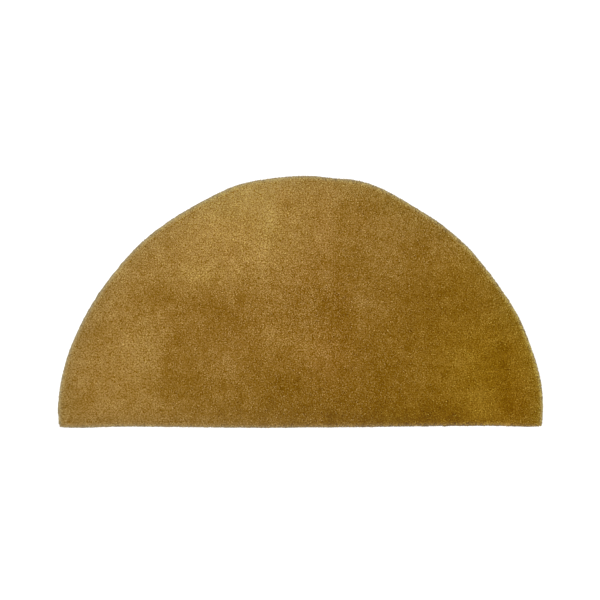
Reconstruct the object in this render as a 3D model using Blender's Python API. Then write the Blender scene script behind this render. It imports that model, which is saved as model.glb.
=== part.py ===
"""Half round hearth rug of cut wool pile, lying flat.

One piece of tufted cloth, so one solid. Its underside is flat, its sides swell out where the
outermost tufts lean over the cut edge of the backing, and its top is the even height of the pile,
with soft hollows where the pile lies over.

Metres, +Z up. The straight edge runs along X on the -Y side and the round edge faces +Y. The
origin is on the floor under the middle of the rug's box.
"""

import bmesh
import bpy
import numpy as np

MM = 0.001

# Driving sizes, in millimetres
PILE_TOP = 12.0  # from the floor to the tips of the pile
BACKING = 2.0  # thickness of the backing cloth under the pile
OVERHANG = 3.0  # the outermost tufts lean this far over the cut edge of the backing
SHOULDER = 8.0  # the pile rounds off over this width along its rim
LEFT_CORNER = 4.5  # radius at the -X end of the straight edge
RIGHT_CORNER = 2.5  # radius at the +X end, cut a little squarer

# Round edge, cut by hand: distance from the middle of the straight edge, by bearing from +X
ROUND_EDGE = np.array(
    [
        (0.0, 606.0),
        (3.0, 610.0),
        (9.0, 614.5),
        (21.0, 613.5),
        (27.0, 614.5),
        (34.0, 612.0),
        (41.0, 613.5),
        (46.0, 617.0),
        (54.0, 620.0),
        (62.0, 622.5),
        (68.0, 629.5),
        (74.0, 636.0),
        (78.0, 635.5),
        (82.0, 631.5),
        (89.0, 631.5),
        (95.0, 629.5),
        (105.0, 628.5),
        (110.0, 622.0),
        (116.0, 616.5),
        (130.0, 612.5),
        (140.0, 608.5),
        (153.0, 608.5),
        (162.0, 612.0),
        (170.0, 613.0),
        (175.0, 612.0),
        (180.0, 607.0),
    ],
    dtype=[("bearing_deg", float), ("radius_mm", float)],
)

# Straight edge: how far it stands out (+) or draws in (-) along its length
STRAIGHT_EDGE = np.array(
    [
        (-620.0, 0.0),
        (-570.0, 1.5),
        (-453.0, -1.5),
        (-330.0, 0.0),
        (-75.0, 2.0),
        (100.0, 0.5),
        (200.0, -0.5),
        (330.0, -2.5),
        (500.0, -3.0),
        (575.0, -1.0),
        (620.0, -2.0),
    ],
    dtype=[("along_mm", float), ("out_mm", float)],
)

# Soft hollows where the pile lies over, from the middle of the straight edge
HOLLOWS = np.array(
    [
        (-360.0, 340.0, 110.0, 0.5),
        (-220.0, 290.0, 150.0, 0.5),
        (-295.0, 110.0, 100.0, 0.4),
        (-20.0, 85.0, 170.0, 0.6),
        (95.0, 300.0, 110.0, 0.8),
        (100.0, 410.0, 80.0, 0.5),
        (310.0, 290.0, 150.0, 0.6),
        (350.0, 30.0, 150.0, 0.5),
        (520.0, 120.0, 90.0, 0.6),
    ],
    dtype=[("x_mm", float), ("y_mm", float), ("reach_mm", float), ("drop_mm", float)],
)

# Side of the rug from the floor to the top: drawn in from the widest line, at this height
RIM = np.array(
    [
        (OVERHANG, 0.0),
        (0.8 * OVERHANG, BACKING),
        (0.1 * OVERHANG, 0.42 * PILE_TOP),
        (0.0, 0.6 * PILE_TOP),
        (0.15 * SHOULDER, 0.82 * PILE_TOP),
        (0.45 * SHOULDER, 0.95 * PILE_TOP),
        (SHOULDER, PILE_TOP),
    ],
    dtype=[("inset_mm", float), ("height_mm", float)],
)

# Rings of the top inside the rim, as shares of the way from the hub out to the rim
TOP_RINGS = (0.94, 0.84, 0.72, 0.6, 0.48, 0.36, 0.24, 0.12)
HUB = (0.0, 300.0)  # millimetres from the middle of the straight edge

# Points along one ring
ROUND_POINTS = 110
CORNER_POINTS = 4
STRAIGHT_POINTS = 44

WOOL_COLOUR = (0.283, 0.151, 0.025, 1.0)
WOOL_ROUGHNESS = 0.95


def through(table, at):
    """Smooth curve through a table's two columns, read at the given places.

    Each piece between two rows is a cubic that meets both rows' values and slopes.
    """
    place, value = (table[column] for column in table.dtype.names)
    slope = np.gradient(value, place)
    row = np.clip(np.searchsorted(place, at, side="right") - 1, 0, len(place) - 2)
    width = place[row + 1] - place[row]
    t = (at - place[row]) / width
    from_values = value[row] + (value[row + 1] - value[row]) * t * t * (3 - 2 * t)
    from_slopes = t * (1 - t) * ((1 - t) * slope[row] - t * slope[row + 1])
    return from_values + width * from_slopes


def front_line(along, inset):
    """Y of the straight edge, drawn in by inset."""
    return inset - through(STRAIGHT_EDGE, along)


def corner_radius(side):
    """Radius of the corner on one side: +1 is the +X side, -1 the -X."""
    return RIGHT_CORNER if side > 0 else LEFT_CORNER


def end_bearing(side, inset):
    """Bearing where the round edge reaches the corner on one side."""
    bearing = 0.0 if side > 0 else np.pi
    for _ in range(6):
        reach = through(ROUND_EDGE, np.degrees(bearing)) - inset
        rise = front_line(reach * np.cos(bearing), inset) + corner_radius(side)
        bearing = np.arcsin(rise / reach)
        bearing = bearing if side > 0 else np.pi - bearing
    return bearing


def corner(end, side):
    """Quarter arc from the round edge's end point down to the straight edge."""
    radius = corner_radius(side)
    turn = np.radians(np.linspace(0, 90, CORNER_POINTS + 2)[1:])
    middle = end - np.array([side * radius, 0.0])
    return middle + radius * np.column_stack([side * np.cos(turn), -np.sin(turn)])


def outline(inset):
    """One ring of points round the rug, anticlockwise from the +X corner, drawn in by inset."""
    bearing = np.linspace(end_bearing(1, inset), end_bearing(-1, inset), ROUND_POINTS)
    reach = through(ROUND_EDGE, np.degrees(bearing)) - inset
    arch = np.column_stack([reach * np.cos(bearing), reach * np.sin(bearing)])
    left = corner(arch[-1], -1)
    right = corner(arch[0], 1)[::-1]
    along = np.linspace(left[-1, 0], right[0, 0], STRAIGHT_POINTS + 2)[1:-1]
    front = np.column_stack([along, front_line(along, inset)])
    return np.concatenate([arch, left, front, right])


def lay_share(points):
    """Share of its full height that the pile keeps at each point, less inside the hollows."""
    share = np.ones(len(points))
    for hollow in HOLLOWS:
        away = np.hypot(points[:, 0] - hollow["x_mm"], points[:, 1] - hollow["y_mm"])
        share -= hollow["drop_mm"] / PILE_TOP * np.exp(-2 * (away / hollow["reach_mm"]) ** 2)
    return share


def ring_at(points, height):
    """The flat ring lifted to its height under the lay of the pile, in metres."""
    return np.column_stack([points, height * lay_share(points)]) * MM


def rings():
    """All rings from the floor up over the rim and in across the top."""
    sides = [ring_at(outline(row["inset_mm"]), row["height_mm"]) for row in RIM]
    rim_top = outline(RIM["inset_mm"][-1])
    top = [ring_at(HUB + share * (rim_top - HUB), PILE_TOP) for share in TOP_RINGS]
    return sides + top


def wool_material():
    """Dyed wool, cut and matt."""
    material = bpy.data.materials.new("gold_wool_pile")
    material.use_nodes = True
    shader = material.node_tree.nodes["Principled BSDF"]
    shader.inputs["Base Color"].default_value = WOOL_COLOUR
    shader.inputs["Roughness"].default_value = WOOL_ROUGHNESS
    shader.inputs["Metallic"].default_value = 0.0
    return material


def loft(all_rings):
    """Closed mesh through the rings, with a fan of triangles at the underside and on the top."""
    bm = bmesh.new()
    loops = [[bm.verts.new(point) for point in ring] for ring in all_rings]
    for low, high in zip(loops, loops[1:]):
        for i in range(len(low)):
            bm.faces.new((low[i - 1], low[i], high[i], high[i - 1]))
    ends = [bm.faces.new(loops[0][::-1]), bm.faces.new(loops[-1])]
    bmesh.ops.poke(bm, faces=ends)
    return bm


def build_rug():
    """The rug, moved so that the middle of its box is over the origin."""
    bm = loft(rings())
    widest = outline(0.0) * MM
    middle = (widest.min(axis=0) + widest.max(axis=0)) / 2
    mesh = bpy.data.meshes.new("rug")
    bm.to_mesh(mesh)
    bm.free()
    mesh.shade_smooth()
    mesh.materials.append(wool_material())
    rug = bpy.data.objects.new("rug", mesh)
    rug.location = (-middle[0], -middle[1], 0.0)
    bpy.context.scene.collection.objects.link(rug)


for old in list(bpy.data.objects):
    bpy.data.objects.remove(old)
build_rug()
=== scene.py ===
"""Half round hearth rug of gold wool: backing cloth, cut pile and the studio it is shown in.

The pile is real: every tuft is a bundle of cut yarn ends, rooted in the backing along the rows of
the tufting, leaning with the lay of the pile and fanning out over the cut edge at the rim.
"""

import bpy
import numpy as np
from bpy.props import FloatProperty, FloatVectorProperty, IntProperty, PointerProperty
from bpy.types import Operator, Panel, PropertyGroup
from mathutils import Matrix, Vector


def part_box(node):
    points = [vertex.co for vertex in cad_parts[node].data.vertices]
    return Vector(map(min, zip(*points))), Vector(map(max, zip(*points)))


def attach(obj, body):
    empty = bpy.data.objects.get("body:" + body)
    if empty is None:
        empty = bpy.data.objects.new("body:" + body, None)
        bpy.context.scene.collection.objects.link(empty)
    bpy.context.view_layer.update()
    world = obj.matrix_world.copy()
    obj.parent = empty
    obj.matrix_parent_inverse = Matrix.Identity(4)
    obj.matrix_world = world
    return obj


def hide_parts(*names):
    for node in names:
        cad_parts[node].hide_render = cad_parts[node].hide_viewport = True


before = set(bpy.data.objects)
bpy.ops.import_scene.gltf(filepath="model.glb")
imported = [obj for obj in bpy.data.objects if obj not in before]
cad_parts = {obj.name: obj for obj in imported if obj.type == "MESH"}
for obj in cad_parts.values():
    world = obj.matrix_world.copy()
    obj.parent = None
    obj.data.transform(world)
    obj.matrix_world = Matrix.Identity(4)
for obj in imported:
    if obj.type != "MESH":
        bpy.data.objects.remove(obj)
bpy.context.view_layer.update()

bl_info = {
    "name": "Half Round Hearth Rug",
    "version": (1, 0, 0),
    "blender": (4, 5, 0),
    "location": "3D View > Sidebar > Hearth Rug",
    "description": "Makes a half round hearth rug of cut wool pile on its backing cloth",
    "category": "Object",
}

MM = 0.001
RUG_LOW, RUG_HIGH = (np.array(corner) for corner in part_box("rug"))
RUG_TOP = float(RUG_HIGH[2])

# One soft patch of the rug, placed from the middle of the rug's box. It is round and soft at
# firmness 2, and squarer with firmer sides at 4. Its strength is what it adds in its middle.
PATCH = np.dtype(
    [
        (name, float)
        for name in ("x_mm", "y_mm", "reach_x_mm", "reach_y_mm", "firmness", "strength")
    ]
)

# Lay of the pile, with painted light and shade: where the pile leans towards the light its wool is
# painted paler (strength above 0), and where it leans away from it, painted deeper (below 0). The
# tips lie over with it too. The broadest pale one, painted light over the upper left, comes first,
# for the foot of the pile.
LAY_AND_PAINTED_SHADE_PATCHES = np.array(
    [
        # x_mm, y_mm, reach_x_mm, reach_y_mm, firmness, strength
        (-205, 305, 290, 190, 2, 0.77),
        (-140, 110, 150, 70, 2, 0.18),
        (-430, 110, 70, 80, 2, 0.22),
        (390, 125, 35, 35, 2, 0.15),
        (395, -225, 40, 30, 2, 0.18),
        (100, -65, 30, 30, 2, -0.25),
        (-553, -72, 35, 50, 2, -0.15),
        (-330, -122, 35, 45, 2, -0.12),
        (-50, -198, 40, 30, 2, -0.10),
        (495, 5, 30, 30, 2, -0.12),
        (-520, -120, 180, 300, 2, 0.36),
        (200, -300, 420, 190, 2, -0.52),
        (330, -20, 180, 150, 2, -0.29),
        (520, -220, 110, 130, 2, -0.10),
        (-290, 55, 38, 36, 2, 0.35),
        (-225, 85, 45, 30, 2, 0.20),
        (-405, -135, 60, 70, 4, 0.28),
        (-470, -220, 25, 35, 2, 0.20),
        (-195, -150, 42, 48, 2, 0.28),
        (-80, -85, 24, 50, 2, 0.20),
        (12, -105, 55, 40, 2, 0.30),
        (170, -15, 50, 34, 2, 0.25),
        (235, 110, 34, 50, 2, 0.18),
        (60, 160, 22, 32, 2, 0.15),
        (62, 45, 20, 28, 2, 0.10),
        (-78, 215, 26, 40, 4, 0.20),
        (-95, 110, 18, 70, 4, 0.18),
        (410, -152, 38, 34, 2, 0.22),
        (455, -245, 42, 48, 2, 0.24),
        (300, -175, 32, 50, 2, 0.12),
        (-390, -250, 22, 42, 2, 0.12),
        (-352, 20, 52, 32, 2, -0.28),
        (-415, 5, 52, 32, 2, -0.15),
        (-250, -10, 48, 32, 2, -0.22),
        (-180, -37, 48, 32, 2, -0.28),
        (-340, 162, 32, 32, 2, -0.20),
        (-390, 100, 26, 26, 2, -0.12),
        (-38, 268, 26, 32, 2, -0.18),
        (176, 230, 42, 28, 2, -0.18),
        (115, 180, 22, 42, 2, -0.15),
        (125, 92, 32, 48, 2, -0.20),
        (42, 100, 24, 26, 2, -0.12),
        (75, -10, 46, 38, 4, -0.28),
        (300, 140, 36, 48, 2, -0.18),
        (278, 5, 48, 40, 2, -0.15),
        (390, 20, 52, 28, 2, -0.18),
        (-510, -97, 32, 28, 2, -0.18),
        (-548, -260, 42, 26, 2, -0.25),
        (-302, -210, 64, 28, 4, -0.25),
        (-125, -122, 20, 32, 2, -0.12),
        (-38, -222, 80, 40, 2, -0.15),
        (382, -283, 32, 24, 2, -0.28),
        (315, -280, 55, 22, 2, -0.15),
        (515, -198, 32, 64, 2, -0.26),
        (520, -110, 26, 45, 2, -0.20),
        (540, -260, 40, 32, 2, -0.22),
        (-130, 170, 200, 120, 2, 0.10),
        (-215, 185, 30, 25, 2, 0.20),
        (-270, 130, 50, 18, 2, 0.18),
        (-130, 255, 25, 35, 2, 0.16),
        (-80, 200, 24, 36, 2, 0.16),
        (-90, 130, 28, 30, 2, 0.14),
        (-15, 160, 24, 40, 2, 0.12),
        (-175, 75, 20, 20, 2, 0.22),
        (-270, 75, 18, 28, 2, 0.20),
        (-350, 65, 18, 24, 2, 0.16),
        (-315, 40, 16, 12, 2, 0.16),
        (85, 270, 20, 20, 2, 0.18),
        (340, 135, 20, 24, 2, 0.20),
        (205, -20, 16, 24, 2, 0.14),
        (400, -150, 30, 24, 2, 0.20),
        (450, -242, 36, 30, 2, 0.18),
        (570, -175, 25, 20, 2, 0.16),
        (50, -135, 34, 28, 2, 0.22),
        (75, -178, 20, 14, 2, 0.12),
        (-72, -90, 16, 38, 2, 0.18),
        (150, -230, 24, 30, 2, 0.14),
        (-130, -240, 15, 32, 2, 0.16),
        (-130, -165, 24, 18, 2, 0.12),
        (-505, -270, 30, 24, 2, 0.18),
        (-385, -260, 32, 28, 2, 0.16),
        (-430, -105, 15, 12, 2, 0.22),
        (-375, -155, 30, 18, 2, 0.16),
        (-375, 165, 60, 20, 2, 0.16),
        (-40, 245, 20, 12, 2, -0.16),
        (170, 240, 40, 18, 2, -0.12),
        (110, 185, 15, 20, 2, -0.12),
        (265, 150, 15, 24, 2, -0.12),
        (75, 90, 30, 15, 2, -0.14),
        (98, 38, 22, 38, 2, -0.22),
        (112, -22, 15, 18, 2, -0.15),
        (-8, 8, 18, 16, 2, -0.18),
        (65, -70, 24, 14, 2, -0.14),
        (-150, 18, 20, 22, 2, -0.15),
        (-330, 10, 30, 18, 2, -0.12),
        (-405, 105, 30, 22, 2, -0.20),
        (-510, -12, 22, 16, 2, -0.16),
        (-460, -70, 50, 14, 2, -0.16),
        (-308, -90, 14, 32, 2, -0.20),
        (-340, -165, 13, 26, 2, -0.26),
        (-288, -165, 14, 36, 2, -0.15),
        (-240, -100, 60, 40, 2, -0.10),
        (-525, -175, 40, 16, 2, -0.12),
        (320, -40, 24, 18, 2, -0.12),
        (420, -15, 20, 12, 2, -0.18),
        (325, 60, 24, 18, 2, -0.12),
        (120, -300, 270, 36, 2, -0.16),
        (325, -305, 60, 26, 2, -0.16),
        (-500, -306, 120, 14, 2, -0.18),
        (88, -275, 18, 14, 2, -0.14),
        (195, -268, 28, 20, 2, -0.12),
        (200, -205, 16, 28, 2, -0.12),
        (510, -130, 14, 60, 2, -0.12),
        (-370, -42, 30, 18, 2, 0.12),
        (-472, 2, 12, 28, 2, 0.12),
        (235, 165, 50, 30, 2, 0.09),
        (300, 82, 20, 20, 2, 0.12),
        (458, 50, 20, 20, 2, 0.12),
        (-550, -238, 30, 18, 2, -0.12),
        (-455, -185, 60, 14, 2, -0.10),
        (100, -155, 20, 20, 2, -0.12),
        (220, -186, 20, 14, 2, -0.12),
        (80, 130, 50, 50, 2, -0.08),
        (-262, 104, 20, 14, 2, -0.14),
        (110, 228, 40, 26, 2, -0.07),
        (285, -226, 20, 16, 2, -0.14),
        (170, 262, 24, 18, 2, 0.15),
        (100, 225, 40, 16, 2, 0.09),
        (392, 122, 14, 24, 2, 0.13),
        (466, -255, 14, 22, 2, 0.12),
        (-473, -180, 12, 70, 2, 0.13),
        (-250, -272, 40, 14, 2, 0.08),
        (-62, -125, 14, 24, 2, 0.15),
        (-362, 62, 26, 16, 2, -0.18),
        (-55, 42, 38, 12, 2, -0.16),
        (2, 55, 14, 12, 2, -0.11),
        (-138, -95, 24, 18, 2, -0.12),
        (-98, -248, 30, 14, 2, -0.13),
        (429, -220, 14, 14, 2, -0.15),
        (-60, 290, 60, 12, 2, -0.13),
        (-30, -308, 50, 8, 2, -0.20),
        (-188, -60, 30, 18, 2, -0.08),
        (505, -150, 20, 24, 2, 0.10),
        (-345, -18, 18, 40, 2, 0.10),
        (-8, 262, 14, 24, 2, 0.14),
        (-205, 232, 30, 14, 2, 0.12),
        (200, 140, 30, 30, 2, 0.10),
        (290, 85, 18, 16, 2, 0.10),
        (165, 58, 12, 16, 2, 0.12),
        (-318, -165, 14, 28, 2, 0.12),
        (-98, -78, 26, 16, 2, 0.14),
        (-290, -78, 16, 14, 2, 0.10),
        (128, 50, 18, 14, 2, -0.16),
        (84, -130, 24, 22, 2, -0.14),
        (228, -4, 18, 20, 2, -0.12),
        (-172, 128, 20, 40, 2, -0.08),
        (-550, -196, 24, 14, 2, -0.12),
        (505, -198, 24, 12, 2, -0.12),
        (15, -25, 18, 44, 2, -0.08),
    ],
    dtype=PATCH,
)

# Where the wool is richer and yellower, with less blue. The broad ones to the right are painted
# lack of sheen, where the light's pale sheen falls off away from the upper left.
RICH_PATCHES = np.array(
    [
        # x_mm, y_mm, reach_x_mm, reach_y_mm, firmness, strength
        (480, -170, 190, 200, 2, 0.90),
        (350, -300, 180, 50, 2, 0.35),
        (-140, 190, 190, 130, 2, 0.15),
        (-430, -150, 110, 200, 2, 0.10),
        (400, 70, 70, 60, 2, 0.22),
        (255, -290, 50, 30, 2, 0.35),
        (20, -110, 60, 40, 2, 0.12),
        (-70, -90, 40, 50, 2, 0.12),
        (-255, 65, 60, 30, 2, 0.15),
    ],
    dtype=PATCH,
)

# Where the wool is a little redder (strength above 0) or greener (below 0)
HUE_PATCHES = np.array(
    [
        # x_mm, y_mm, reach_x_mm, reach_y_mm, firmness, strength
        (-100, -60, 260, 130, 2, 0.35),
        (63, 155, 45, 90, 2, 0.35),
        (0, 60, 60, 60, 2, 0.30),
        (75, -140, 70, 80, 2, 0.50),
        (100, 20, 40, 60, 2, 0.30),
        (540, -250, 40, 80, 2, 0.40),
        (-180, 115, 20, 24, 2, 0.30),
        (-40, 260, 20, 30, 2, 0.35),
        (150, 190, 30, 50, 2, 0.20),
        (-200, 265, 150, 50, 2, -0.40),
        (-80, 200, 25, 60, 2, -0.35),
        (60, 300, 220, 35, 2, -0.25),
        (520, -30, 35, 60, 2, -0.25),
        (-385, -120, 30, 80, 2, -0.25),
        (-270, 70, 60, 25, 2, -0.20),
        (592, -302, 40, 25, 2, -0.70),
        (225, -295, 35, 20, 2, -0.35),
        (230, 245, 40, 25, 2, -0.35),
        (285, 190, 30, 20, 2, -0.25),
        (-180, 225, 40, 20, 2, -0.22),
        (55, 285, 45, 30, 2, 0.25),
        (535, -110, 20, 40, 2, 0.20),
        (-588, -270, 30, 40, 2, -0.25),
    ],
    dtype=PATCH,
)

# Where the tufts are most open, so that single yarn ends stand out, and where least (strength
# below 0)
OPEN_PATCHES = np.array(
    [
        # x_mm, y_mm, reach_x_mm, reach_y_mm, firmness, strength
        (0, 60, 330, 240, 2, 0.75),
        (0, 0, 130, 110, 2, 0.80),
        (0, -235, 250, 80, 2, 0.50),
        (-480, -200, 150, 120, 2, -0.80),
        (-130, 240, 140, 80, 2, -0.60),
    ],
    dtype=PATCH,
)

# Where the tufts at the rim lean further out (strength above 0) or less far (below 0), as a share
# of the fan
REACH_PATCHES = np.array(
    [
        # x_mm, y_mm, reach_x_mm, reach_y_mm, firmness, strength
        (-530, -5, 50, 60, 2, 0.50),
        (-500, -316, 130, 20, 4, 0.42),
        (-125, 300, 40, 30, 2, -0.38),
        (483, 60, 25, 30, 2, 0.28),
        (335, 205, 35, 30, 2, 0.32),
        (195, 285, 25, 20, 2, -0.28),
        (585, -132, 20, 30, 2, 0.22),
        (607, -240, 20, 25, 2, 0.20),
        (-585, -140, 20, 25, 2, -0.20),
        (10, -316, 30, 20, 2, -0.25),
        (-225, -316, 50, 20, 2, -0.15),
        (470, -316, 150, 20, 2, 0.27),
    ],
    dtype=PATCH,
)


def linear(code):
    """The linear colour of an sRGB hex code such as #a07830, by the sRGB curve."""
    s = np.array([int(code[i : i + 2], 16) for i in (1, 3, 5)]) / 255
    return tuple(float(c) for c in np.where(s <= 0.04045, s / 12.92, ((s + 0.055) / 1.055) ** 2.4))


def size_in_metres(name, description, default, least):
    """A size property in metres, with its least value."""
    return FloatProperty(
        name=name, description=description, default=default, min=least, subtype="DISTANCE"
    )


class RugSizes(PropertyGroup):
    """Sizes of the cloth and its pile"""

    backing: size_in_metres(
        "Backing thickness", "Thickness of the backing cloth under the pile", 2.0 * MM, 0.5 * MM
    )
    pitch: size_in_metres(
        "Tuft pitch", "Distance between two tufts in a row, and between two rows",
        4.5 * MM, 2.0 * MM,
    )
    yarn_width: size_in_metres(
        "Yarn width", "Width of one cut yarn end at its tip", 3.3 * MM, 0.3 * MM
    )
    fan: size_in_metres(
        "Fan", "How far the outermost tufts lean out over the cut edge of the backing",
        3.0 * MM, 0.0,
    )
    fan_depth: size_in_metres(
        "Fan depth", "Distance inside the edge over which the fan dies away", 4.0 * MM, 1.0 * MM
    )
    seed: IntProperty(
        name="Seed", description="Picks the unevenness of the tufts", default=11, min=0
    )


def colour(name, description, code):
    """A colour property with a hex default."""
    return FloatVectorProperty(
        name=name, description=description, default=linear(code), size=3, min=0.0, max=1.0,
        subtype="COLOR",
    )


class RugColours(PropertyGroup):
    """Colours of the wool and the backing cloth"""

    # From darkest to brightest these colours paint light and shade into the wool: deeper where the
    # pile leans away from the light, paler where it leans towards it. The darkest is painted shade on
    # single ends sunk between their neighbours.
    darkest_wool: colour("Darkest wool", "Single ends sunk between their neighbours", "#452300")
    deepest_wool: colour("Deepest wool", "Yarn that leans far away from the light", "#5f3b00")
    deep_wool: colour("Deep wool", "Yarn that leans away from the light", "#7b5604")
    gold_wool: colour("Gold wool", "Yarn that stands upright", "#96722e")
    pale_wool: colour("Pale wool", "Yarn that leans towards the light", "#af8e56")
    palest_wool: colour("Palest wool", "Yarn that leans far towards the light", "#c4a568")
    # The brightest is a painted highlight on single ends that catch the light.
    brightest_wool: colour("Brightest wool", "Single ends whose fibres have opened", "#d9bc7b")
    faded_wool: colour("Faded wool", "Dusty, bleached yarn along the rim", "#9a8e6d")
    # Painted shade: the foot of the pile is coloured darker for the shade down between the tufts.
    painted_shade_root_wool: colour("Root wool", "Packed yarn at the foot of the tufts", "#6f4c12")
    # Painted shade: each yarn's colour darkens towards its root, shaded by its neighbours.
    painted_root_shade: colour("Root shade", "Tints each yarn's own colour down at its root", "#bfaf81")
    backing_cloth: colour("Backing cloth", "Threads of the woven backing", "#b9a98a")


class RugStudio(PropertyGroup):
    """Camera and light of the studio"""

    camera_height: FloatProperty(
        name="Camera height", description="Camera above the floor", default=6.0, subtype="DISTANCE"
    )
    key_power: FloatProperty(
        name="Key light", description="Power of the soft light overhead, to the upper left",
        default=425.0, subtype="POWER",
    )
    key_size: FloatProperty(
        name="Key size", description="Width of the soft light overhead", default=4.0,
        subtype="DISTANCE",
    )
    fill: FloatProperty(
        name="Fill light", description="Strength of the even light from all round", default=0.7
    )


ON_FLOOR = 0.1 * MM  # the solid's corners below this height are those of its underside
NEAR_MIDDLE = 200 * MM  # nearer the box's middle is only the hub of the underside's triangles


def backing_edge():
    """Cut edge of the backing: the solid's corners on the floor, in order round the rug.

    They are sorted by their bearing from the middle of the box.
    """
    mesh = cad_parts["rug"].data
    points = np.empty(3 * len(mesh.vertices))
    mesh.vertices.foreach_get("co", points)
    points = points.reshape(-1, 3)
    floor = np.unique(np.round(points[points[:, 2] < ON_FLOOR, :2], 6), axis=0)
    floor = floor[np.hypot(*floor.T) > NEAR_MIDDLE]
    return floor[np.argsort(np.arctan2(floor[:, 1], floor[:, 0]))]


def outward(ring):
    """Unit direction out of a closed ring at each point, square to the line through its neighbours."""
    along = np.roll(ring, -1, axis=0) - np.roll(ring, 1, axis=0)
    out = np.column_stack([along[:, 1], -along[:, 0]])
    return out / np.linalg.norm(out, axis=1)[:, None]


def from_edge(ring, points):
    """How far each point lies inside a closed ring, and the unit direction out of it there.

    The distance is the least one to any of the ring's sides, and it is negative outside the ring.
    The direction points from the nearest place on the ring away from the inside.
    """
    start, side = ring, np.roll(ring, -1, axis=0) - ring
    length = np.hypot(*side.T)
    along = np.clip(((points[:, None] - start) * side).sum(axis=2) / length**2, 0, 1)
    away = points[:, None] - (start + along[..., None] * side)
    nearest = np.argmin((away**2).sum(axis=2), axis=1)
    every = np.arange(len(points))
    out = np.column_stack([side[:, 1], -side[:, 0]])[nearest] / length[nearest, None]
    inside = -np.sign((away[every, nearest] * out).sum(axis=1))
    return inside * np.linalg.norm(away[every, nearest], axis=1), out


def patches_at(points, table):
    """Sum of a table's patches at each point.

    A patch is its strength times e to the minus (dx to the firmness + dy to the firmness), where dx
    and dy are the distances from its middle as shares of its two reaches.
    """
    across = np.abs(points[:, :1] / MM - table["x_mm"]) / table["reach_x_mm"]
    up = np.abs(points[:, 1:2] / MM - table["y_mm"]) / table["reach_y_mm"]
    firmness = table["firmness"]
    return (table["strength"] * np.exp(-(across**firmness) - up**firmness)).sum(axis=1)


def clouds(points, size, random):
    """Smooth uneven field at each point, about 0 with a spread of about 1.

    Random values stand on a square grid of the given size. Inside a cell the four values at its
    corners are blended by 3 t squared - 2 t cubed along each side. The blend takes up about a
    quarter of their spread, which the last factor gives back.
    """
    place = (points - RUG_LOW[:2]) / size + 1
    cell = np.floor(place).astype(int)
    t = place - cell
    u, v = (t * t * (3 - 2 * t)).T
    i, j = cell.T
    value = random.normal(0, 1, cell.max(axis=0) + 2)
    low = value[i, j] * (1 - u) + value[i + 1, j] * u
    high = value[i, j + 1] * (1 - u) + value[i + 1, j + 1] * u
    return 1.4 * (low * (1 - v) + high * v)


def new_mesh_object(name, points, corners, sizes):
    """Object at the origin with a mesh of these points.

    corners lists the points' numbers face after face, and sizes how many each face takes.
    """
    mesh = bpy.data.meshes.new(name)
    mesh.vertices.add(len(points))
    mesh.vertices.foreach_set("co", np.asarray(points, np.float32).ravel())
    mesh.loops.add(len(corners))
    mesh.loops.foreach_set("vertex_index", np.asarray(corners, np.int32))
    mesh.polygons.add(len(sizes))
    starts = np.concatenate([[0], np.cumsum(sizes)[:-1]]).astype(np.int32)
    mesh.polygons.foreach_set("loop_start", starts)
    mesh.update(calc_edges=True)
    mesh.shade_smooth()
    made = bpy.data.objects.new(name, mesh)
    bpy.context.scene.collection.objects.link(made)
    return made


TURNING = 8 * MM  # the inset rings turn a corner over this width


def lofted(name, ring, steps, shares):
    """Closed body through rings drawn in from an outline.

    Point i of step (inset, height) is ring[i] moved inwards by inset and lifted to height. Its
    direction is averaged over the points within about TURNING, so that a corner moves in as one
    and doesn't fold. Then come rings at shares of the way from the middle to the last step's
    ring, and a last point in the middle. The first ring is closed by a fan of its own.
    """
    apart = np.linalg.norm(ring[:, None] - ring, axis=2)
    out = np.exp(-((apart / TURNING) ** 2)) @ outward(ring)
    out /= np.linalg.norm(out, axis=1)[:, None]
    walls = [np.column_stack([ring - inset * out, np.full(len(ring), z)]) for inset, z in steps]
    middle = walls[-1].mean(axis=0)
    top = [middle + share * (walls[-1] - middle) for share in shares]
    rings = np.array(walls + top)
    count, around = rings.shape[:2]
    floor_middle = np.append(middle[:2], walls[0][0, 2])
    points = np.vstack([rings.reshape(-1, 3), floor_middle, middle])
    this = np.arange(around)
    after = (this + 1) % around
    base = around * np.arange(count - 1)[:, None]
    quads = np.stack([base + this, base + after, base + around + after, base + around + this], 2)
    last = around * (count - 1)
    floor_fan = np.column_stack([after, this, np.full(around, count * around)])
    top_fan = np.column_stack([last + this, last + after, np.full(around, count * around + 1)])
    corners = np.concatenate([quads.ravel(), floor_fan.ravel(), top_fan.ravel()])
    sizes = np.concatenate([np.full(quads.size // 4, 4), np.full(2 * around, 3)])
    return new_mesh_object(name, points, corners, sizes)


EDGE_ROWS = 3  # rows of tufts that follow the rim, outside the straight rows
OVERHANG = 3 * MM  # the pile stands out this far over the cut edge of the backing
FIRST_TIPS = 0.8 * MM  # the first edge row's tufts have their middles this far out over it

# Spacing of the tufts, in pitches
EDGE_GAP = 0.92  # between the edge rows' tips, and between two tufts along an edge row
STRAIGHT_START = 0.5  # the straight rows start this far inside the last edge row
SETTLING_BAND = 4  # the tufts nearer to the last edge row than this settle
BEHIND_BAND = 6  # and those between there and here push them without moving
FILLER_INSET = 0.8  # from the last edge row to the tufts that fill gaps beside it
FILLER_GAP = 0.9  # between two of those
FILLER_ROOM = 0.62  # a tuft that fills a gap needs at least this much room
PUSHING_REACH = 1.1  # settling tufts push each other apart when they are nearer than this
UNEVENNESS = 0.12  # a tuft stands this far off its place, less so along the rim


def spaced(line, gap):
    """Points an even step apart along an open line of points, without its last one.

    A point's place is the walked length where it stands, blended between the line's two points on
    either side of it.
    """
    walked = np.append(0, np.cumsum(np.linalg.norm(np.diff(line, axis=0), axis=1)))
    stops = np.linspace(0, walked[-1], int(walked[-1] / gap) + 1, endpoint=False)
    return np.column_stack([np.interp(stops, walked, axis) for axis in line.T])


FOLDED = 0.95  # a drawn-in point nearer to the rim than this share of its inset has folded over


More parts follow.
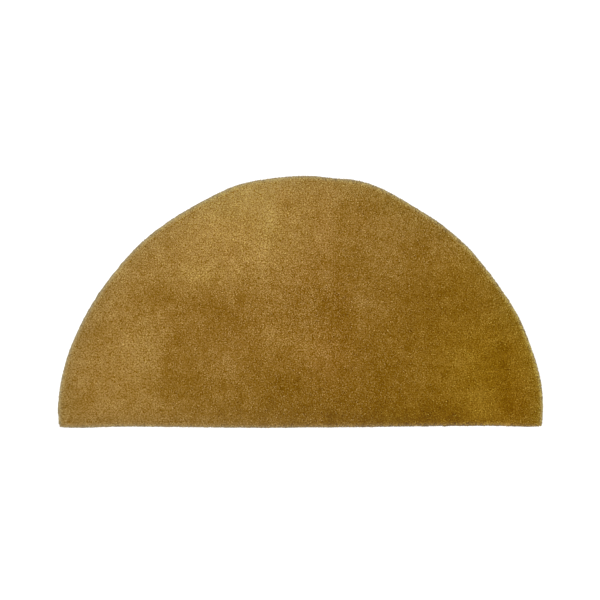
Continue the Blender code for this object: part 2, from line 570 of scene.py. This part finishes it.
def edge_row(ring, inset, gap):
    """A row of tufts along the rim, drawn in from it by inset, with one tuft at each corner.

    The ring is walked in steps of 1 mm, and each step's point moved inwards by inset. Those that
    fold over at a corner are dropped.
    """
    fine = spaced(np.vstack([ring, ring[:1]]), 1 * MM)
    line = fine - inset * outward(fine)
    line = line[from_edge(ring, line)[0] > FOLDED * inset]
    left_corner = np.argmin(line[:, 0] + line[:, 1])
    line = np.roll(line, -left_corner, axis=0)
    right_corner = np.argmax(line[:, 0] - line[:, 1])
    closed = np.vstack([line, line[:1]])
    return np.vstack([spaced(closed[: right_corner + 1], gap), spaced(closed[right_corner:], gap)])


def corner_tufts(ring, insets):
    """Extra tufts on the diagonal of both corners: outside the first edge row and between the rows."""
    places = np.append(0.6 * insets[0], (insets[1:] + insets[:-1]) / 2)
    left = ring[np.argmin(ring[:, 0] + ring[:, 1])]
    right = ring[np.argmax(ring[:, 0] - ring[:, 1])]
    return [left + np.outer(places, (1, 1)), right + np.outer(places, (-1, 1))]


SETTLING_ROUNDS = 8
SETTLING_PUSH = 0.4
SAME_PLACE = 1e-6  # metres: a point that is nearer than this is the pushed point itself


def settled(points, still, reach):
    """Points spread evenly by pushing each one away from all that stand nearer than reach.

    In a round a point moves by SETTLING_PUSH of the sum of what each such neighbour lacks to reach,
    along the line from that neighbour. The still ones push and don't move.
    """
    for _ in range(SETTLING_ROUNDS):
        away = points[:, None] - np.vstack([points, still])
        distance = np.sqrt((away**2).sum(axis=2)) + 1e-9  # never 0, so that it can divide
        lack = np.where(distance > SAME_PLACE, np.clip(reach - distance, 0, None), 0)
        points = points + SETTLING_PUSH * (away * (lack / distance)[..., None]).sum(axis=1)
    return points


def tuft_roots(ring, sizes, random):
    """Roots of all tufts, from the straight edge to the round one, and the depth of the edge rows.

    The fan carries a tip at depth d out by fan times e to the minus d over fan depth. The edge
    rows' depths are the ones that put their tips an even step apart after that, the first over the
    cut edge. They are read from a line of 400 depths. Inside them come straight rows, every other
    one set half a pitch along. Where those leave a gap beside the last edge row, a tuft fills it,
    and the outermost four pitches settle. Along the rim a tuft is a fifth as uneven as inside.
    """
    pitch = sizes.pitch
    gap = EDGE_GAP * pitch
    depth = np.linspace(0, 10 * pitch, 400)
    tip_depth = depth - sizes.fan * np.exp(-depth / sizes.fan_depth)
    insets = np.interp(gap * np.arange(EDGE_ROWS) - FIRST_TIPS, tip_depth, depth)
    last = insets[-1]
    last_row = edge_row(ring, last, gap)
    outer_rows = [edge_row(ring, inset, gap) for inset in insets[:-1]]
    rim = np.vstack(corner_tufts(ring, insets) + outer_rows + [last_row])
    columns, rows = ((RUG_HIGH[:2] - RUG_LOW[:2]) / pitch).astype(int) + 2
    column, row = np.meshgrid(np.arange(columns), np.arange(rows))
    grid = np.column_stack([(column + 0.5 * (row % 2)).ravel(), row.ravel()]) * pitch
    grid += RUG_LOW[:2]
    depth, _ = from_edge(ring, grid)
    within = depth >= last + SETTLING_BAND * pitch
    beside = (depth > last + STRAIGHT_START * pitch) & (depth < last + SETTLING_BAND * pitch)
    behind = within & (depth < last + BEHIND_BAND * pitch)
    filler = edge_row(ring, last + FILLER_INSET * pitch, FILLER_GAP * pitch)
    room = np.linalg.norm(filler[:, None] - grid[beside], axis=2).min(axis=1)
    loose = np.vstack([grid[beside], filler[room > FILLER_ROOM * pitch]])
    still = np.vstack([last_row, grid[behind]])
    tuft = np.vstack([grid[within], rim, settled(loose, still, PUSHING_REACH * pitch)])
    depth, _ = from_edge(ring, tuft)
    uneven = UNEVENNESS * pitch * np.clip(depth / (4 * pitch), 0.2, 1)
    tuft += uneven[:, None] * random.normal(0, 1, tuft.shape)
    return tuft[np.argsort(tuft[:, 1], kind="stable")], last


ENDS = 4  # cut yarn ends in one tuft
SPLAY = 0.35  # pitches from the middle of a tuft to the middles of its yarn ends
LYING_WAY = np.array([0.5, -0.8])  # the way that deep wool lies over, seen from above
LYING = 0.9 * MM  # how far a tip lies over that way for every 1 that its shade is below 0
SHORTENING = 0.3 * MM  # yarn is cut this much under the rug's height, so that uneven tips fit
LEAST_HEIGHT = 0.4  # share of its length that a leaning yarn still stands up
ROOT_SPLAY = 0.45  # share of the splay between the roots of a tuft's ends
TIP_UNEVENNESS = 0.25 * MM
HIGHEST_TIP = 0.5 * MM  # no tip stands further over the rug's height than this
SHEARED = 0.38  # share of the rug's height that is sheared off the crown at the rim
SHEARED_WIDTH = 2 * MM  # the crown comes up to its full height over about this width
END_WANDER = 0.07  # pitches that the tip of a single end strays at random
TUFT_WANDER = 0.15 * MM  # and that of a whole tuft
ROUND_FAN = 0.2  # the fan is larger on the round side by this share
SWELLS = 0.1  # and uneven by this share, in swells 12 mm wide


def leaning(tuft, depth, out, shade, round_side, sizes, random):
    """How far each yarn end's tip is carried off by the lay of the pile and the fan at the rim.

    Each end leans a little at random, and so does its tuft, both less near the rim. Each lies over
    by its tuft's shade. The fan is its size times e to the minus depth over fan depth. It grows on
    the round side, by slow random swells and by the REACH_PATCHES, and each end takes 0.85 to 1.15
    of it.
    """
    count = len(tuft)
    calm = np.clip(depth / (3 * sizes.pitch), 0.3, 1)[:, None, None]
    lean = calm * random.normal(0, END_WANDER * sizes.pitch, (count, ENDS, 2))
    lean += (LYING_WAY * LYING * -shade[:, None])[:, None]
    lean += calm * random.normal(0, TUFT_WANDER, (count, 1, 2))
    ragged = 1 + ROUND_FAN * round_side[:, 0] + SWELLS * clouds(tuft, 12 * MM, random)
    ragged += patches_at(tuft, REACH_PATCHES)
    fan = sizes.fan * ragged * np.exp(-depth / sizes.fan_depth)
    lean += (fan[:, None] * random.uniform(0.85, 1.15, (count, ENDS)))[..., None] * out[:, None]
    return lean


END_GRAIN = 0.695  # how far single yarn ends stray in shade from their tuft
TUFT_GRAIN = 0.15  # how far whole tufts stray in shade
RIM_TUFT_GRAIN = 0.25  # and how much further on the cut edge of the backing
PLAIN_GRAIN = 0.83  # share of all that outside the OPEN_PATCHES
OPEN_GRAIN = 0.24  # and how much it grows in a patch of strength 1
RIM_GRAIN = 0.45  # the tips in the rim stray further by this share, and twice it on the round side
RIM_GRAIN_WIDTH = 8 * MM


def grain_and_painted_shade(tuft, depth, inside, round_side, random):
    """How far each yarn end strays in shade from the lay of the pile: partly its own random colour,
    partly painted shade and painted highlights on single ends.

    Single ends stray by draws with slightly long tails, a trace longer to the pale side, less their
    tuft's mean. Whole tufts stray by a smaller draw, which grows near the rim by e to the minus
    (depth over 6 mm) squared. The sum grows with the OPEN_PATCHES and near the rim.
    """
    own = 0.87 * random.standard_t(8, (len(tuft), ENDS))
    own += 0.02 * own**2
    of_tuft = TUFT_GRAIN + RIM_TUFT_GRAIN * np.exp(-((depth / (6 * MM)) ** 2))
    of_tuft = of_tuft * random.normal(0, 1, len(tuft))
    tone_and_painted_shade = of_tuft[:, None] + END_GRAIN * (own - own.mean(axis=1)[:, None])
    opened = PLAIN_GRAIN + OPEN_GRAIN * patches_at(tuft, OPEN_PATCHES)[:, None]
    at_rim = np.exp(-((inside / RIM_GRAIN_WIDTH) ** 2))
    return tone_and_painted_shade * (opened + (RIM_GRAIN + RIM_GRAIN * round_side) * at_rim)


# What the rim does to the wool, in units of painted shade, faded or hue. The right side's share
# grows from none at the rug's middle to all at its right end.
RIM_LINE = 5.5 * MM  # width of the line of painted light and dust along the rim
# Painted light: the rim's pile is paler on the round side, where it faces the light.
PAINTED_RIM_LIGHT, PAINTED_RIM_LIGHT_RIGHT = 0.55, 0.8  # paler on the round side, and further so on the right
DUSTY, DUSTY_ROUND, DUSTY_RIGHT = 0.42, 0.18, -0.12  # more on the round side, less on the right
FAINT_DUST, FAINT_WIDTH = 0.13, 30 * MM  # further in, growing from the right end to the left
GREEN_SIDE, GREEN_RIGHT, GREEN_WIDTH = 0.42, 0.9, 25 * MM  # greener in from the round side
RICH_TONE = 0.45  # a paler end's colour is this much richer for each 1 it strays, from -1 to 0.6


def wool_looks(tuft, shade, tone_and_painted_shade, inside, round_side):
    """What the wool's material reads for each yarn end, tuft by tuft.

    The shade is the lay's painted light and shade with each end's own random colour and painted
    shade, and painted light along the round side's rim, where the pile faces the light. That line and
    its dust fade inwards by e to the minus (distance inside over its width) squared, the faint dust
    and the greener wool by e to the minus distance inside over width.
    """
    to_right = np.clip(tuft[:, :1] / RUG_HIGH[0], 0, 1)
    line = np.exp(-((inside / RIM_LINE) ** 2))
    # Painted light along the round side's rim
    painted_rim_light = (PAINTED_RIM_LIGHT + PAINTED_RIM_LIGHT_RIGHT * to_right) * round_side * line
    dusty = (DUSTY + DUSTY_ROUND * round_side + DUSTY_RIGHT * to_right) * line
    faint = FAINT_DUST * (1 - tuft[:, :1] / RUG_HIGH[0]) * np.exp(-inside / FAINT_WIDTH)
    greener = (GREEN_SIDE + GREEN_RIGHT * to_right) * round_side * np.exp(-inside / GREEN_WIDTH)
    return {
        "shade": shade[:, None] + tone_and_painted_shade + painted_rim_light,
        "rich": patches_at(tuft, RICH_PATCHES)[:, None] + RICH_TONE * np.clip(tone_and_painted_shade, -1, 0.6),
        "hue": patches_at(tuft, HUE_PATCHES)[:, None] - greener,
        "faded": dusty + faint,
    }


def yarn_ends(ring, sizes, random):
    """Root and tip of every yarn end, tuft by tuft, and the looks of its wool.

    A tip stands over its root, moved by the tuft's splay and by its lean. Its height is what is
    left of the yarn's length after that, or the sheared crown's if that is less: the full height
    less SHEARED of it times e to the minus (distance inside the rim over SHEARED_WIDTH). Along
    the rim each tuft has two of its ends facing out. The lay, with its painted shade, has small
    swells of its own, 20 and 11 mm wide, on top of its patches.
    """
    tuft, rim_depth = tuft_roots(ring, sizes, random)
    count = len(tuft)
    depth, out = from_edge(ring, tuft)
    facing = np.where(depth < rim_depth + 0.3 * sizes.pitch, np.arctan2(out[:, 1], out[:, 0]), 0)
    around = facing[:, None] + 2 * np.pi * (np.arange(ENDS) + 0.5) / ENDS
    around += random.normal(0, 0.15, (count, 1))
    splay = SPLAY * sizes.pitch * np.stack([np.cos(around), np.sin(around)], axis=2)
    # Painted light and shade of the lay, which also sets how far each tip lies over
    shade = patches_at(tuft, LAY_AND_PAINTED_SHADE_PATCHES)
    shade += 0.06 * clouds(tuft, 20 * MM, random) + 0.09 * clouds(tuft, 11 * MM, random)
    round_side = np.clip(1 + out[:, 1:], 0, 1)
    moved = splay + leaning(tuft, depth, out, shade, round_side, sizes, random)
    length = RUG_TOP - sizes.backing - SHORTENING
    least = (LEAST_HEIGHT * length) ** 2
    height = np.sqrt(np.clip(length**2 - (moved**2).sum(axis=2), least, None))
    inside = depth[:, None] + OVERHANG - (moved * out[:, None]).sum(axis=2)
    crown = RUG_TOP * (1 - SHEARED * np.exp(-np.clip(inside, 0, None) / SHEARED_WIDTH))
    tip_z = np.minimum(sizes.backing + height, crown)
    tip_z += random.normal(0, TIP_UNEVENNESS, (count, ENDS))
    # Each end's own random colour, with painted shade and highlights on single ends
    tone_and_painted_shade = grain_and_painted_shade(tuft, depth, inside, round_side, random)
    looks = wool_looks(tuft, shade, tone_and_painted_shade, inside, round_side)
    root_z = np.full_like(tip_z, sizes.backing)
    tip_z = np.minimum(tip_z, RUG_TOP + HIGHEST_TIP)
    return (
        np.dstack([tuft[:, None] + ROOT_SPLAY * splay, root_z]).reshape(-1, 3),
        np.dstack([tuft[:, None] + moved, tip_z]).reshape(-1, 3),
        {name: values.ravel() for name, values in looks.items()},
    )


ROOT_WIDTH = 0.6  # width of a yarn's root end, as a share of its tip's
CUT_SLOPE = 0.35  # how steeply the shears have cut the tips, rise over run


def yarn_points(root, tip, width, random):
    """Corners of three-sided yarn ends, coarser than real ones: (yarn, end, corner, xyz).

    Corner k of an end lies half a width from the end's middle, on the bearing turn + k thirds of a
    turn. The root end is narrower, and the tip is cut on a slight slope. Yarns differ in width by
    up to a fifth.
    """
    turn = random.uniform(0, 2 * np.pi, (len(root), 1)) + 2 * np.pi * np.arange(3) / 3
    way = np.stack([np.cos(turn), np.sin(turn)], axis=2)
    half = 0.5 * width * random.uniform(0.8, 1.2, (len(root), 1, 1))
    slope = random.normal(0, CUT_SLOPE, (len(root), 1, 2))
    points = np.empty((len(root), 2, 3, 3))
    points[:, 0, :, :2] = root[:, None, :2] + ROOT_WIDTH * half * way
    points[:, 0, :, 2] = root[:, 2:]
    points[:, 1, :, :2] = tip[:, None, :2] + half * way
    points[:, 1, :, 2] = tip[:, 2:] + (slope * half * way).sum(axis=2)
    return points


CORNERS_EACH = 6  # of one yarn end: three at its root and three at its tip
# One yarn end's faces: three sides, the cut tip and the root end, by corner number
YARN_CORNERS = np.array([0, 1, 4, 3, 1, 2, 5, 4, 2, 0, 3, 5, 3, 4, 5, 2, 1, 0])
YARN_FACES = np.array([4, 4, 4, 3, 3])
# Where each of those corners lies in the yarn end's own cell of the map, along and up
YARN_CELL = np.array(
    [(0.2, 0.2), (0.8, 0.2), (0.8, 0.65), (0.2, 0.65)] * 3
    + [(0.2, 0.7), (0.8, 0.7), (0.5, 0.9)]
    + [(0.5, 0.3), (0.8, 0.2), (0.2, 0.2)]
)


def add_yarns(name, points, looks):
    """One mesh of yarn ends, with its map and the attributes that the wool reads.

    The map gives each yarn end a square cell of its own. Cell n is n mod across along and the whole
    part of n over across up, in a square of across cells each way.
    """
    count = len(points)
    first = CORNERS_EACH * np.arange(count)[:, None]
    made = new_mesh_object(
        name, points.reshape(-1, 3), (first + YARN_CORNERS).ravel(), np.tile(YARN_FACES, count)
    )
    across = int(np.ceil(np.sqrt(count)))
    cell = np.column_stack([np.arange(count) % across, np.arange(count) // across])
    layer = made.data.uv_layers.new(name="OFBake", do_init=False)
    places = (cell[:, None] + YARN_CELL) / across
    layer.uv.foreach_set("vector", places.astype(np.float32).ravel())
    for look, values in looks.items():
        attribute = made.data.attributes.new(look, "FLOAT", "POINT")
        each = np.repeat(values, CORNERS_EACH).astype(np.float32)
        attribute.data.foreach_set("value", each)
    return made


def add(tree, kind, links=(), values=(), **settings):
    """Add a node with its settings, links and sockets' values.

    links holds (socket here, node, socket there) to come from, and values (socket, value).
    """
    node = tree.nodes.new(kind)
    for name, value in settings.items():
        setattr(node, name, value)
    for here, other, there in links:
        tree.links.new(node.inputs[here], other.outputs[there])
    for here, value in values:
        node.inputs[here].default_value = value
    return node


def new_material(name, roughness, specular):
    """A material, its node tree and its shader, with the values that are the same all over."""
    material = bpy.data.materials.new(name)
    material.use_nodes = True
    shader = material.node_tree.nodes["Principled BSDF"]
    shader.inputs["Roughness"].default_value = roughness
    shader.inputs["Specular IOR Level"].default_value = specular
    return material, material.node_tree, shader


def opaque(rgb):
    """A colour with 1 as its fourth number."""
    return (*rgb, 1.0)


SHADE_SPAN = 2.25  # painted shade runs from minus this, the darkest wool, to plus this, the brightest
RICH_COLOUR = (1.02, 1.02, 0.4)  # what the richest colour, partly painted lack of sheen, does to red, green and blue
GREENER = (0.94, 1.03, 0.95)  # what a hue of -1 does to them
REDDER = (1.06, 0.97, 1.0)  # and a hue of +1
PAINTED_ROOT_SHADE_HEIGHTS = (0.85, 0.3)  # painted shade: yarn darkens from the first share of the rug's height down to the second


def wool_material(colours):
    """Dyed wool, spun and cut: matt, because its open fibre ends scatter the light.

    Each yarn end's shade picks its colour between darkest and brightest: painted light and shade of
    the lay and of single ends, with their own random colour. Richer colour takes out the blue: on the
    right as painted lack of sheen, and in paler ends. The hue turns it redder or greener, the rim is
    faded, and painted shade darkens each yarn by its own colour towards its root.
    """
    material, tree, shader = new_material("gold_wool_cut_pile", roughness=0.95, specular=0.02)
    shade, rich, hue, faded = (
        add(tree, "ShaderNodeAttribute", attribute_name=name)
        for name in ("shade", "rich", "hue", "faded")
    )
    share = add(
        tree, "ShaderNodeMapRange", [("Value", shade, "Fac")],
        [("From Min", -SHADE_SPAN), ("From Max", SHADE_SPAN)],
    )
    dye = add(tree, "ShaderNodeValToRGB", [("Fac", share, "Result")])
    # The ramp paints light and shade: down to the darkest for pile and ends in shade, up to the
    # brightest for pile and ends facing the light.
    stops = ("darkest", "deepest", "deep", "gold", "pale", "palest", "brightest")
    ramp = dye.color_ramp.elements
    for number in range(1, len(stops) - 1):
        ramp.new(number / (len(stops) - 1))
    for stop, name in zip(ramp, stops):
        stop.color = opaque(getattr(colours, name + "_wool"))
    richer = add(
        tree, "ShaderNodeMix", [("Factor", rich, "Fac"), ("A", dye, "Color")],
        [("B", opaque(RICH_COLOUR))],
        data_type="RGBA", blend_type="MULTIPLY", clamp_factor=False,
    )
    side = add(tree, "ShaderNodeMapRange", [("Value", hue, "Fac")], [("From Min", -1)])
    tint = add(
        tree, "ShaderNodeMix", [("Factor", side, "Result")],
        [("A", opaque(GREENER)), ("B", opaque(REDDER))],
        data_type="RGBA",
    )
    tinted = add(
        tree, "ShaderNodeMix", [("A", richer, "Result"), ("B", tint, "Result")], [("Factor", 1.0)],
        data_type="RGBA", blend_type="MULTIPLY",
    )
    dusty = add(
        tree, "ShaderNodeMix", [("Factor", faded, "Fac"), ("A", tinted, "Result")],
        [("B", opaque(colours.faded_wool))],
        data_type="RGBA",
    )
    place = add(tree, "ShaderNodeTexCoord")
    axes = add(tree, "ShaderNodeSeparateXYZ", [("Vector", place, "Object")])
    # Painted shade: each yarn is darkened by its own colour towards its root
    start, end = (share_of * RUG_TOP for share_of in PAINTED_ROOT_SHADE_HEIGHTS)
    down = add(
        tree, "ShaderNodeMapRange", [("Value", axes, "Z")],
        [("From Min", start), ("From Max", end)],
        interpolation_type="SMOOTHSTEP",
    )
    yarn = add(
        tree, "ShaderNodeMix", [("Factor", down, "Result"), ("A", dusty, "Result")],
        [("B", opaque(colours.painted_root_shade))],
        data_type="RGBA", blend_type="MULTIPLY",
    )
    tree.links.new(shader.inputs["Base Color"], yarn.outputs["Result"])
    return material


def packed_wool_material(colours):
    """The foot of the pile, yarn packed too tight to see single ends: a deep felted gold, coloured
    darker as painted shade down between the tufts.

    It shows between the tufts, so it follows the broadest pale patch of the lay with painted light:
    it goes halfway from the deep wool to the gold in its middle, and fades evenly out to twice its
    reach.
    """
    material, tree, shader = new_material("packed_wool_roots", roughness=1.0, specular=0.02)
    place = add(tree, "ShaderNodeTexCoord")
    felt = add(
        tree, "ShaderNodeTexNoise", [("Vector", place, "Object")], [("Scale", 1 / (6 * MM))]
    )
    mixed = add(
        tree, "ShaderNodeMix", [("Factor", felt, "Fac")],
        [("A", opaque(colours.painted_shade_root_wool)), ("B", opaque(colours.deep_wool))],
        data_type="RGBA",
    )
    # Painted light: the foot is paler under the lay's broadest pale patch.
    pale = LAY_AND_PAINTED_SHADE_PATCHES[0]
    over = add(
        tree, "ShaderNodeMapping", [("Vector", place, "Object")],
        [
            ("Location", (pale["x_mm"] * MM, pale["y_mm"] * MM, 0)),
            ("Scale", (2 * pale["reach_x_mm"] * MM, 2 * pale["reach_y_mm"] * MM, 1)),
        ],
        vector_type="TEXTURE",
    )
    painted_light_falloff = add(
        tree, "ShaderNodeTexGradient", [("Vector", over, "Vector")], gradient_type="SPHERICAL"
    )
    paler = (np.array(colours.gold_wool) + np.array(colours.deep_wool)) / 2
    laid = add(
        tree, "ShaderNodeMix", [("Factor", painted_light_falloff, "Fac"), ("A", mixed, "Result")],
        [("B", opaque(paler))],
        data_type="RGBA",
    )
    tree.links.new(shader.inputs["Base Color"], laid.outputs["Result"])
    return material


THREAD_GAP = 4 * MM  # between two threads of the backing
THREAD_RELIEF = 0.4 * MM  # from the dips between the threads to their ridges
THREAD_SHADE = 0.55  # painted shade: what is left of the cloth's colour in those dips
WAVE_LENGTH = 0.314  # metres between two bands of a wave texture at a scale of 1


def backing_material(colours):
    """Woven jute and cotton backing: matt, with warp and weft threads crossing as low ridges, and
    painted shade in the dips between them.

    The threads are drawn 4 mm apart, twice as coarse as real ones, so that they still show.
    """
    material, tree, shader = new_material("woven_backing_cloth", roughness=0.95, specular=0.2)
    place = add(tree, "ShaderNodeTexCoord")
    warp, weft = (
        add(
            tree, "ShaderNodeTexWave", [("Vector", place, "Object")],
            [("Scale", WAVE_LENGTH / THREAD_GAP), ("Distortion", 0.4)],
            bands_direction=axis,
        )
        for axis in ("X", "Y")
    )
    cloth = add(
        tree, "ShaderNodeMath", [(0, warp, "Fac"), (1, weft, "Fac")], operation="MAXIMUM"
    )
    bump = add(
        tree, "ShaderNodeBump", [("Height", cloth, "Value")], [("Distance", THREAD_RELIEF)]
    )
    tree.links.new(shader.inputs["Normal"], bump.outputs["Normal"])
    # Painted shade: the dips between the threads are darker.
    between = THREAD_SHADE * np.array(colours.backing_cloth)
    thread = add(
        tree, "ShaderNodeMix", [("Factor", cloth, "Value")],
        [("A", opaque(between)), ("B", opaque(colours.backing_cloth))],
        data_type="RGBA",
    )
    tree.links.new(shader.inputs["Base Color"], thread.outputs["Result"])
    return material


def finished(made, material):
    """Give a piece its material and its body, and let it stand for the CAD solid."""
    made.data.materials.append(material)
    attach(made, "root")
    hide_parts("rug")
    return made


FOOT_HEIGHT = 0.72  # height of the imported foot, as a share of the rug's


class RUG_OT_backing(Operator):
    """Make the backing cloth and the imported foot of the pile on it"""

    bl_idname = "hearth_rug.backing"
    bl_label = "Backing cloth"

    def execute(self, context):
        rug, colours = context.scene.rug_sizes, context.scene.rug_colours
        ring = backing_edge()
        thick = rug.backing
        cut_edge = [(0, 0), (0, 0.8 * thick), (0.2 * thick, thick)]
        cloth = lofted("backing_cloth", ring, cut_edge, shares=(0.6, 0.3))
        finished(cloth, backing_material(colours))
        foot = FOOT_HEIGHT * RUG_TOP
        side_mm = [(1, thick), (1.5, 0.7 * foot), (3, 0.95 * foot), (5, foot)]
        side = [(inset * MM, height) for inset, height in side_mm]
        bed = lofted("pile_foot", ring, side, shares=(0.9, 0.7, 0.5, 0.3))
        finished(bed, packed_wool_material(colours))
        return {"FINISHED"}


BANDS = 6  # pieces that the pile is made in, each a band of rows


class RUG_OT_pile(Operator):
    """Set the tufts of the cut pile, in bands of rows from the straight edge to the round one"""

    bl_idname = "hearth_rug.pile"
    bl_label = "Cut pile"

    def execute(self, context):
        rug, colours = context.scene.rug_sizes, context.scene.rug_colours
        random = np.random.default_rng(rug.seed)
        ring = backing_edge()
        root, tip, looks = yarn_ends(ring, rug, random)
        points = yarn_points(root, tip, rug.yarn_width, random)
        wool = wool_material(colours)
        bands = np.array_split(np.arange(len(points)), BANDS)
        pile = [
            finished(
                add_yarns(
                    f"pile_rows_{number}",
                    points[band],
                    {name: values[band] for name, values in looks.items()},
                ),
                wool,
            )
            for number, band in enumerate(bands, start=1)
        ]
        return {"FINISHED"}


PHOTO_SIDE = 600  # pixels
RUG_PIXELS = 485.1  # the rug's width in the photo
PHOTO_MIDDLE = (-0.4, 1.9)  # pixels from the rug's middle to the middle of the photo, right and up
METRES_PER_PIXEL = float(RUG_HIGH[0] - RUG_LOW[0]) / RUG_PIXELS
FLOOR_REACH = 30.0  # metres from the middle of the floor to its sides
FLOOR_DROP = 0.2 * MM  # the floor lies this far under the rug, so that the two never share a plane
FLOOR_WHITE = (0.97, 0.97, 0.97)
KEY_PLACE = (-0.7, 0.2, 7.0)  # metres from the rug's middle, to the left and a little behind it
SENSOR_WIDTH = 36.0  # millimetres


class RUG_OT_studio(Operator):
    """Build the pale floor, the soft lights and the camera that looks straight down"""

    bl_idname = "hearth_rug.studio"
    bl_label = "Studio"

    def execute(self, context):
        scene, studio = context.scene, context.scene.rug_studio
        corners = FLOOR_REACH * np.array([(-1, -1), (1, -1), (1, 1), (-1, 1)], float)
        floor_points = np.column_stack([corners, np.full(4, -FLOOR_DROP)])
        floor = new_mesh_object("studio_floor", floor_points, [0, 1, 2, 3], [4])
        paint = bpy.data.materials.new("matt_white_floor")
        paint.use_nodes = True
        shader = paint.node_tree.nodes["Principled BSDF"]
        shader.inputs["Base Color"].default_value = opaque(FLOOR_WHITE)
        shader.inputs["Roughness"].default_value = 0.9
        floor.data.materials.append(paint)
        lamp = bpy.data.lights.new("soft_key", "AREA")
        lamp.shape, lamp.size, lamp.energy = "DISK", studio.key_size, studio.key_power
        key = bpy.data.objects.new("soft_key", lamp)
        key.location = KEY_PLACE
        key.rotation_euler = (-Vector(KEY_PLACE)).to_track_quat("-Z", "Y").to_euler()
        scene.collection.objects.link(key)
        world = bpy.data.worlds.new("studio_light")
        world.use_nodes = True
        sky = world.node_tree.nodes["Background"]
        sky.inputs["Color"].default_value = (1, 1, 1, 1)
        sky.inputs["Strength"].default_value = studio.fill
        scene.world = world
        lens = bpy.data.cameras.new("camera")
        lens.sensor_width = SENSOR_WIDTH
        frame_width = PHOTO_SIDE * METRES_PER_PIXEL
        lens.lens = SENSOR_WIDTH * (studio.camera_height - RUG_TOP) / frame_width
        camera = bpy.data.objects.new("camera", lens)
        across, up = (METRES_PER_PIXEL * pixels for pixels in PHOTO_MIDDLE)
        camera.location = (across, up, studio.camera_height)
        scene.collection.objects.link(camera)
        scene.camera = camera
        scene.view_settings.view_transform = "Standard"
        return {"FINISHED"}


class RUG_PT_panel(Panel):
    """Lists the rug's sizes, colours and steps"""

    bl_label = "Hearth Rug"
    bl_idname = "RUG_PT_panel"
    bl_space_type = "VIEW_3D"
    bl_region_type = "UI"
    bl_category = "Hearth Rug"

    def draw(self, context):
        for group in (context.scene.rug_sizes, context.scene.rug_colours, context.scene.rug_studio):
            box = self.layout.box()
            for name in group.bl_rna.properties.keys():
                if name not in ("rna_type", "name"):
                    box.prop(group, name)
        for step in (RUG_OT_backing, RUG_OT_pile, RUG_OT_studio):
            self.layout.operator(step.bl_idname)


CLASSES = (
    RugSizes, RugColours, RugStudio, RUG_OT_backing, RUG_OT_pile, RUG_OT_studio, RUG_PT_panel,
)


def register():
    """Make the classes known to Blender, and give each scene its sizes, colours and studio."""
    for kind in CLASSES:
        bpy.utils.register_class(kind)
    bpy.types.Scene.rug_sizes = PointerProperty(type=RugSizes)
    bpy.types.Scene.rug_colours = PointerProperty(type=RugColours)
    bpy.types.Scene.rug_studio = PointerProperty(type=RugStudio)


def unregister():
    """Take away what register added, in the opposite order."""
    del bpy.types.Scene.rug_studio
    del bpy.types.Scene.rug_colours
    del bpy.types.Scene.rug_sizes
    for kind in reversed(CLASSES):
        bpy.utils.unregister_class(kind)


def main():
    """Make the rug and its studio."""
    register()
    bpy.ops.hearth_rug.backing()
    bpy.ops.hearth_rug.pile()
    bpy.ops.hearth_rug.studio()


if __name__ == "__main__":
    main()
